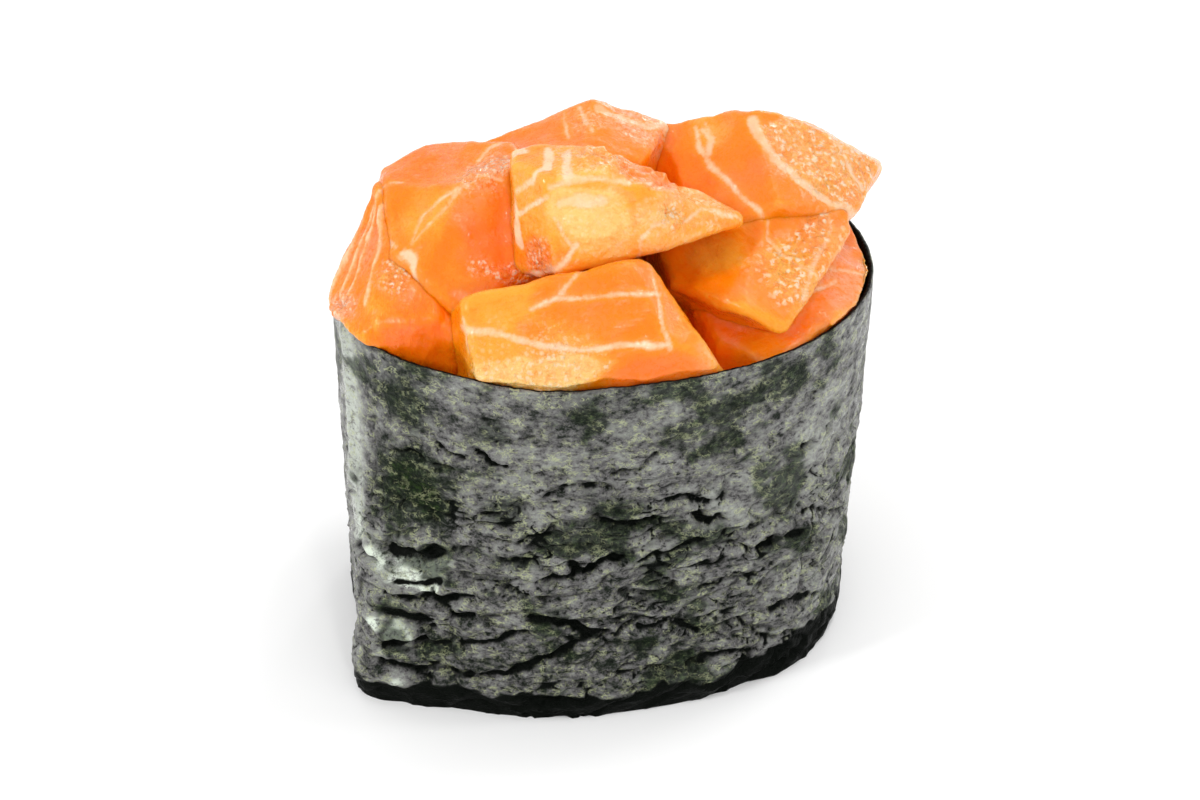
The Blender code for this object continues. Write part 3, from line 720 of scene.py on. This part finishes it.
def seaweed():
    columns, rows, back_rows = ((560, 148, 14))
    first, last = math.radians(OVERLAP_FROM), math.radians(OVERLAP_TO)
    turns = even_turns(columns)
    k = int(np.argmin(np.abs(turns - last)))
    turns[k], turns[k + 1] = last - 0.004, last + 0.004
    fold = np.where((turns > first) & (turns < last), OVERLAP_STEP * np.minimum(1, (turns - first) / math.radians(14)), 0)
    big, mid, small = Noise(401), Noise(402), Noise(403)
    z_out = np.linspace(0, BAND_HEIGHT, rows)
    t, z = np.meshgrid(turns, z_out)
    outside, side = wall(t, z, -np.broadcast_to(fold, t.shape))
    flat = outside.reshape(-1, 3)
    up = flat[:, 2] / BAND_HEIGHT
    # stuck down on the rice below, smooth above it
    loose = 0.16 + 0.84 * (1 - step(0.58, 0.86, up + 0.10 * big(flat / 7)))
    q = flat + 1.1 * np.stack([mid(flat / 4.0 + 11 * i) for i in range(3)], 1)
    folds = 1 - np.abs(mid(q * (0.16, 0.16, 0.42)))
    folds2 = 1 - np.abs(small(q * (0.34, 0.34, 0.95) + 7))
    bumps = big(q * (0.24, 0.24, 0.34) + 3)
    calm = 1 - 0.6 * np.maximum(bump(t.ravel(), 178, 24), bump(t.ravel(), 2, 26))
    crack = step(0.86, 0.99, 1 - np.abs(big(q * (0.30, 0.30, 0.85) + 31))) * step(-0.05, 0.25, mid(flat / 5 + 60))
    push = loose * calm * (0.40 * bumps - 0.42 * np.maximum(0, folds - 0.78) / 0.22 + 0.16 * np.maximum(0, folds2 - 0.66) / 0.34
                           - 0.34 * crack + 0.04 * small(q * (0.9, 0.9, 1.7)))
    push += calm * (0.05 * mid(flat * (0.8, 0.8, 1.3)) + 0.015 * small(flat * 1.9))
    coarse = slice(None, None, 4)
    skin_points = outside[coarse, coarse].reshape(-1, 3)
    across, down = outside[coarse, coarse].shape[1], outside[coarse, coarse].shape[0]
    quads = [(i * across + j, i * across + (j + 1) % across, (i + 1) * across + (j + 1) % across, (i + 1) * across + j)
             for i in range(down - 1) for j in range(across)]
    tree = BVHTree.FromPolygons([Vector(q) for q in skin_points], quads)
    # painted shade, black, down the deepest folds and cracks
    painted_shade = np.maximum(step(0.86, 1.0, folds) * 0.55, crack * 0.75) * loose * calm
    jitter = 0.16 * small(flat / 0.7) + 0.10 * mid(flat / 0.35)
    wave = np.stack([big(flat / 1.6 + 13 * i) for i in range(3)], 1) * 0.35
    for height, features in ((-1, CREASES), (1, RIDGES)):
        for half, size, pixels in features:
            path = np.array([seen_on(tree, *pixel)[0] for pixel in pixels])
            near = np.linalg.norm(flat - path.mean(0), axis=1) < np.linalg.norm(path - path.mean(0), axis=1).max() + 5 * half + 1
            away = np.abs(far_from(flat[near] + wave[near], path) + jitter[near])
            dip = np.exp(-((away / half) ** 2))
            lip = np.exp(-(((away - 2.1 * half) / half) ** 2))
            if height < 0:
                push[near] += -0.95 * size * dip + 0.24 * size * lip
                # painted shade along each crease
                painted_shade[near] = np.maximum(painted_shade[near], np.exp(-((away / half) ** 2)) * min(1.0, size * 1.6))
            else:
                push[near] += size * dip
    # the foot is a little turned under, and its last millimetres are painted dark: painted shade under the turn
    push -= 0.22 * (1 - step(0.0, 0.05, up))
    foot_shade_height = 0.060 + 0.035 * mid(flat / 4.5 + 90) + 0.02 * small(flat / 1.5) + 0.035 * bump(t.ravel(), 318, 16)
    painted_shade = np.maximum(painted_shade, 1 - step(0.0, 0.03, up - foot_shade_height))
    pale_and_sheen, green = np.zeros(len(flat)), np.zeros(len(flat))
    for pixel, radius, paler, greener in STAINS_AND_HIGHLIGHTS:
        spot, _ = seen_on(tree, *pixel)
        share = 1 - step(0.2, 1.2, np.linalg.norm(flat - spot, axis=1) / (radius / 10.7) + 0.35 * mid(flat / 2.2 + 33))
        pale_and_sheen = pale_and_sheen + share * paler
        green = np.maximum(green, share * greener)
    # a pale strip up the left side: painted sheen
    sheen_strip = np.array([seen_on(tree, *pixel)[0] for pixel in ((346, 335), (352, 400), (356, 470), (358, 528))])
    pale_and_sheen = pale_and_sheen + 1.0 * (1 - step(0.9, 2.6, far_from(flat + wave, sheen_strip)))
    # elsewhere, out of the photograph's view, stains of the same kinds
    hidden = step(-0.1, 0.3, -(side.reshape(-1, 3) @ BACK))
    # the pale patches here are partly painted sheen, like those in front
    pale_and_sheen = pale_and_sheen + hidden * (0.7 * step(0.05, 0.4, big(flat / 8 + 21)) - 0.4 * step(0.05, 0.4, big(flat / 7 + 51)))
    green = np.maximum(green, hidden * step(0.25, 0.45, mid(flat / 7 + 81)))
    push = np.maximum(push, -0.30 - room_behind(flat[:, 2]))
    outside = flat + side.reshape(-1, 3) * push[:, None]
    outside[:, 2] += 0.12 * loose * small(flat / 1.7 + 50) * step(0.0, 0.05, up)
    outside = outside.reshape(rows, columns, 3)
    lift = rim_lift(turns) + 0.10 * small(np.c_[np.cos(turns) * 20, np.sin(turns) * 15, turns * 0]) + 0.05 * small(np.c_[np.cos(turns) * 60, np.sin(turns) * 45, turns * 0])
    outside[:, :, 2] += (step(0.75, 1.0, z / BAND_HEIGHT)) * lift
    # the foot touches down here and there
    ragged = np.maximum(0, 0.22 * small(np.c_[np.cos(turns) * 9, np.sin(turns) * 7, turns * 0]))
    outside[:, :, 2] += (1 - step(0.0, 0.08, z / BAND_HEIGHT)) * ragged
    z_in = np.r_[np.linspace(BAND_HEIGHT, 27, back_rows - 5), 20, 10, 4, 1.5, 0.0]
    t2, z2 = np.meshgrid(turns, z_in)
    inside, _ = wall(t2, z2, SHEET - 0.08 + room_behind(z2))
    inside[:, :, 2] += step(0.75, 1.0, z2 / BAND_HEIGHT) * lift
    inside[-1, :, 2] += ragged
    edge = (outside[-1] + inside[0]) / 2 + (0, 0, 0.10)
    sheet = np.concatenate([outside, edge[None], inside], 0)
    total = len(sheet)
    index = np.arange(total * columns).reshape(total, columns)
    faces = []
    for i in range(total):
        a, b = index[i], index[(i + 1) % total]
        faces.append(np.stack([a, np.roll(a, -1), np.roll(b, -1), b], 1))
    made = new_object("nori_sheet", sheet.reshape(-1, 3), np.concatenate(faces).tolist())
    for key, values in (("painted_shade", painted_shade), ("loose", loose), ("pale_and_sheen", pale_and_sheen), ("green", green)):
        everywhere = np.full(total * columns, 0.8 if key == "painted_shade" else 0.0)  # the inside is painted dark all over
        everywhere[: rows * columns] = values
        set_attribute(made.data, key, everywhere)
    made.data.materials.append(seaweed_material())
    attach(made, "root")
    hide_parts("nori")


def seaweed_material():
    net = Net("seaweed")
    painted_shade, loose = net.attribute("painted_shade"), net.attribute("loose")
    patch = net.noise(net.stretched((0.15, 0.15, 0.2)), detail=3, rough=0.6)
    cloud = net.noise(net.stretched((0.42, 0.42, 0.6)), detail=4, rough=0.65)
    pulp = net.noise(net.stretched((1.7, 1.7, 2.4)), detail=4, rough=0.7)
    dust = net.noise(net.stretched((5.5, 5.5, 6.5)), detail=3, rough=0.7)
    gate = net.noise(net.stretched((1.1, 1.1, 1.4)), detail=2)
    threads = []
    for turn, scale in (((0, 0, 0), (0.8, 0.8, 1.7)), ((30, 40, 20), (0.7, 1.8, 1.8)), ((-35, -30, 60), (1.8, 0.7, 1.8))):
        contour = net.math("ABSOLUTE", net.math("SUBTRACT", net.noise(net.stretched(scale, turn), detail=2, distortion=0.4), 0.5))
        threads.append(net.step(contour, 0.010, 0.032, 1.0, 0.0))
    thread = net.math("MAXIMUM", net.math("MAXIMUM", threads[0], threads[1]), threads[2])
    thread = net.math("MULTIPLY", thread, net.step(gate, 0.47, 0.60))
    thread = net.math("MULTIPLY", thread, net.step(cloud, 0.36, 0.58))
    pale_and_sheen, green = net.attribute("pale_and_sheen"), net.attribute("green")
    fleck = net.math("MULTIPLY", net.step(dust, 0.54, 0.66), net.step(pulp, 0.46, 0.60))
    # grey and light stand partly for the glossy sheet's sheen: painted sheen in the colour of a sheet that is nearly
    # black
    black, char, grey, light = (0.001, 0.002, 0.001), (0.006, 0.011, 0.005), (0.115, 0.110, 0.112), (0.31, 0.33, 0.29)
    moss_dark, moss, olive, straw = (0.003, 0.008, 0.002), (0.022, 0.046, 0.008), (0.100, 0.13, 0.050), (0.44, 0.48, 0.26)
    level = net.math("MULTIPLY_ADD", net.math("SUBTRACT", cloud, 0.5), 2.3, net.math("MULTIPLY_ADD", pale_and_sheen, 0.62, 0.56))
    level = net.math("MULTIPLY_ADD", net.math("SUBTRACT", pulp, 0.5), 2.3, level)
    level = net.math("MULTIPLY_ADD", net.math("SUBTRACT", dust, 0.5), 1.1, level)
    colour = net.mix(net.step(level, -0.05, 0.50, kind="LINEAR"), char, grey)
    colour = net.mix(net.step(level, 0.45, 1.5, kind="LINEAR"), colour, light)
    # the palest places take a milky colour: painted wet highlights
    colour = net.mix(net.math("MULTIPLY", net.step(pale_and_sheen, 0.8, 1.4), net.step(net.math("MULTIPLY_ADD", dust, 0.4, pulp), 0.56, 0.72)), colour, (0.72, 0.80, 0.68))
    green = net.math("MAXIMUM", green, net.math("MULTIPLY", net.step(patch, 0.50, 0.60), 0.85))
    mossy = net.math("MULTIPLY", green, net.step(net.math("MULTIPLY_ADD", green, 0.35, net.math("MULTIPLY_ADD", pulp, 0.7, cloud)), 0.70, 0.95))
    colour = net.mix(mossy, colour, net.mix(net.step(pulp, 0.46, 0.72), moss_dark, moss))
    some = net.math("MULTIPLY", net.step(patch, 0.40, 0.56), 0.8)
    colour = net.mix(net.math("MULTIPLY", fleck, some), colour, olive)
    colour = net.mix(net.math("MULTIPLY", thread, net.step(green, 0.4, 0.9, 0.62, 0.40)), colour, straw)
    # black painted shade in noise-placed hollows of the loose sheet and along the creases
    hollow_shade = net.math("MULTIPLY", net.step(pulp, 0.44, 0.33), net.step(loose, 0.1, 0.6, 0.25, 0.9))
    hollow_shade = net.math("MULTIPLY", hollow_shade, net.step(pale_and_sheen, 0.2, 0.9, 1.0, 0.3))
    hollow_shade = net.math("MAXIMUM", hollow_shade, net.step(net.math("MULTIPLY_ADD", net.math("SUBTRACT", pulp, 0.5), 0.8, painted_shade), 0.28, 0.66))
    colour = net.mix(hollow_shade, colour, black)
    shader = net.shader
    net.put(shader.inputs["Base Color"], colour)
    net.put(shader.inputs["Roughness"], net.step(cloud, 0.35, 0.7, 0.30, 0.48))
    shader.inputs["Specular IOR Level"].default_value = 0.05
    net.put(shader.inputs["Coat Weight"], net.math("MULTIPLY", net.math("SUBTRACT", 1.0, net.math("MAXIMUM", hollow_shade, net.math("MULTIPLY", mossy, 0.8))), net.step(net.math("MULTIPLY_ADD", pale_and_sheen, 0.15, cloud), 0.40, 0.62, 0.20, 1.0)))
    shader.inputs["Coat Roughness"].default_value = 0.11
    normal = net.bump(cloud, 0.6, 0.6)
    normal = net.bump(pulp, 0.40, net.step(pale_and_sheen, 0.2, 0.9, 0.85, 0.35), normal)
    normal = net.bump(dust, 0.07, 0.5, normal)
    normal = net.bump(thread, 0.06, 0.6, normal)
    net.put(shader.inputs["Normal"], normal)
    net.put(shader.inputs["Coat Normal"], normal)
    return net.material


seaweed()

# ---------------------------------------------------------------- the rice


def rice_material():
    net = Net("cooked_rice")
    cloud = net.noise(net.stretched((0.6, 0.6, 0.6)), detail=2)
    fine = net.noise(net.stretched((3.0, 3.0, 3.0)), detail=3)
    net.put(net.shader.inputs["Base Color"], net.mix(cloud, (0.78, 0.75, 0.67), (0.90, 0.88, 0.83)))
    net.put(net.shader.inputs["Roughness"], net.step(fine, 0.3, 0.7, 0.28, 0.5))
    net.put(net.shader.inputs["Subsurface Weight"], 0.25)
    net.shader.inputs["Subsurface Radius"].default_value = (1.0, 0.85, 0.7)
    net.shader.inputs["Subsurface Scale"].default_value = 0.001
    net.put(net.shader.inputs["Normal"], net.bump(fine, 0.08, 0.5))
    return net.material


RICE = rice_material()


def rice():
    rng = np.random.default_rng(77)
    bm = bmesh.new()
    bmesh.ops.create_icosphere(bm, subdivisions=3, radius=1.0)
    ball = np.array([v.co[:] for v in bm.verts])
    bm.faces.ensure_lookup_table()
    sides = np.array([[v.index for v in f.verts] for f in bm.faces])
    bm.free()
    spots = []
    for surface, level, count, closeness in (("under", 1.05, 4000, 2.3), ("top", 30.0, 3000, 2.5)):
        kept = []
        for _ in range(count):
            turn, share = rng.uniform(0, 2 * math.pi), math.sqrt(rng.uniform())
            edge, _ = wall(np.array([turn]), np.array([level]), np.array([SHEET + 0.9]))
            x, y = edge[0, :2] * share
            if all((x - a) ** 2 + (y - b) ** 2 > closeness**2 for a, b in kept):
                kept.append((x, y))
        spots += [(surface, x, y, level) for x, y in kept]
    points, faces = [], []
    for surface, x, y, level in spots:
        long, wide, thick = rng.uniform(2.4, 3.1), rng.uniform(1.15, 1.4), rng.uniform(1.0, 1.25)
        g = ball * (long, wide, thick)
        g[:, 1] += 0.07 * (g[:, 0] ** 2 - 2)
        g[:, 1:] *= 1 - 0.12 * np.abs(ball[:, :1]) ** 3
        turn, tip = rng.uniform(0, 2 * math.pi), rng.normal(0, 0.16 if surface == "under" else 0.22)
        m = np.array(Matrix.Rotation(turn, 3, "Z") @ Matrix.Rotation(tip, 3, "Y"))
        g = g @ m.T + (x, y, level + rng.normal(0, 0.12))
        if surface == "under":
            low = g[:, 2] < 0.35
            g[low, 2] = np.maximum(0.02, 0.35 - (0.35 - g[low, 2]) * 0.45)
        else:
            g[:, 2] = np.minimum(g[:, 2], 31.35)
        # nothing through the seaweed
        angle = np.arctan2(g[:, 1] / FOOT_HALF_WIDTH, g[:, 0] / FOOT_HALF_LENGTH)
        edge, _ = wall(angle, np.clip(g[:, 2], 0, 36), np.full(len(g), SHEET + (1.3 if surface == "under" else 0.3)))
        room, far = np.linalg.norm(edge[:, :2], axis=1) * 0.985, np.linalg.norm(g[:, :2], axis=1)
        squeeze = np.minimum(1, room / np.maximum(far, 1e-6))
        g[:, :2] *= squeeze[:, None]
        faces.append(sides + len(points) * len(ball))
        points.append(g)
    grains = new_object("rice_grains", np.concatenate(points), np.concatenate(faces).tolist())
    grains.data.materials.append(RICE)
    # the core that the grains stick to
    turns = even_turns(120)
    levels = [0.9, 2, 8, 14, 20, 26, 29.2]
    rings = []
    lumps = Noise(55)
    for z in levels:
        ring, side = wall(turns, np.full(len(turns), float(z)), np.full(len(turns), SHEET + (1.6 if z < 3 else 0.8)))
        rings.append(ring)
    for share in (0.85, 0.6, 0.35, 0.12):
        rings.append(np.c_[rings[6][:, :2] * share, np.full(len(turns), 29.3)])
    under = [np.c_[rings[0][:, :2] * share, np.full(len(turns), 1.0)] for share in (0.12, 0.35, 0.6, 0.85)]
    body = np.concatenate(under + rings)
    body[:, 2] += 0.25 * lumps(body / 1.6) * ((body[:, 2] > 29) | (body[:, 2] < 1.5))
    index = np.arange(len(body)).reshape(-1, len(turns))
    faces = [np.stack([a, np.roll(a, -1), np.roll(b, -1), b], 1) for a, b in zip(index, index[1:])]
    core = new_object("rice_core", body, np.concatenate(faces).tolist() + [index[0][::-1].tolist(), index[-1].tolist()])
    core.data.materials.append(RICE)
    for made in (grains, core):
        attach(made, "root")
    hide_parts("rice")
    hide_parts("rice")


rice()

# ---------------------------------------------------------------- floor and light

floor = new_object("floor", [(-4000, -4000, 0), (4000, -4000, 0), (4000, 4000, 0), (-4000, 4000, 0)], [(0, 1, 2, 3)], smooth=False)
paper = Net("paper")
net_noise = paper.noise(paper.stretched((0.02, 0.02, 0.02)), detail=2)
paper.put(paper.shader.inputs["Base Color"], paper.mix(net_noise, (0.93, 0.93, 0.93), (0.95, 0.95, 0.95)))
paper.shader.inputs["Roughness"].default_value = 0.9
paper.shader.inputs["Specular IOR Level"].default_value = 0.1
floor.data.materials.append(paper.material)

world = bpy.data.worlds.new("studio")
SCENE.world = world
world.use_nodes = True
sky = world.node_tree
where = sky.nodes.new("ShaderNodeTexCoord")
split = sky.nodes.new("ShaderNodeSeparateXYZ")
rise = sky.nodes.new("ShaderNodeMapRange")
rise.interpolation_type = "SMOOTHSTEP"
for key, value in (("From Min", -0.05), ("From Max", 0.8), ("To Min", 0.86), ("To Max", 0.96)):
    rise.inputs[key].default_value = value
sky.links.new(where.outputs["Generated"], split.inputs[0])
sky.links.new(split.outputs["Z"], rise.inputs["Value"])
glow = sky.nodes["Background"]
glow.inputs["Color"].default_value = (1, 1, 1, 1)
sky.links.new(rise.outputs[0], glow.inputs["Strength"])


def softbox(name, at, size, watts, colour=(1, 1, 1)):
    lamp = bpy.data.lights.new(name, "AREA")
    lamp.shape, lamp.size, lamp.size_y, lamp.energy, lamp.color = "RECTANGLE", size[0], size[1], watts, colour
    made = bpy.data.objects.new(name, lamp)
    SCENE.collection.objects.link(made)
    made.location = at
    made.rotation_mode = "QUATERNION"
    made.rotation_quaternion = (Vector((0, 0, 0.03)) - Vector(at)).to_track_quat("-Z", "Y")


softbox("key", (-0.32, -0.10, 0.26), (0.06, 0.06), 0.50)
softbox("top", (0.12, 0.06, 0.42), (0.06, 0.06), 0.24)
softbox("right", (0.36, -0.06, 0.20), (0.05, 0.08), 0.22)
softbox("back", (0.17, 0.30, 0.16), (0.06, 0.06), 0.12)
softbox("front", (0.05, -0.42, 0.19), (0.05, 0.05), 0.32)

SCENE.view_settings.view_transform = "Standard"
SCENE.view_settings.look = "None"
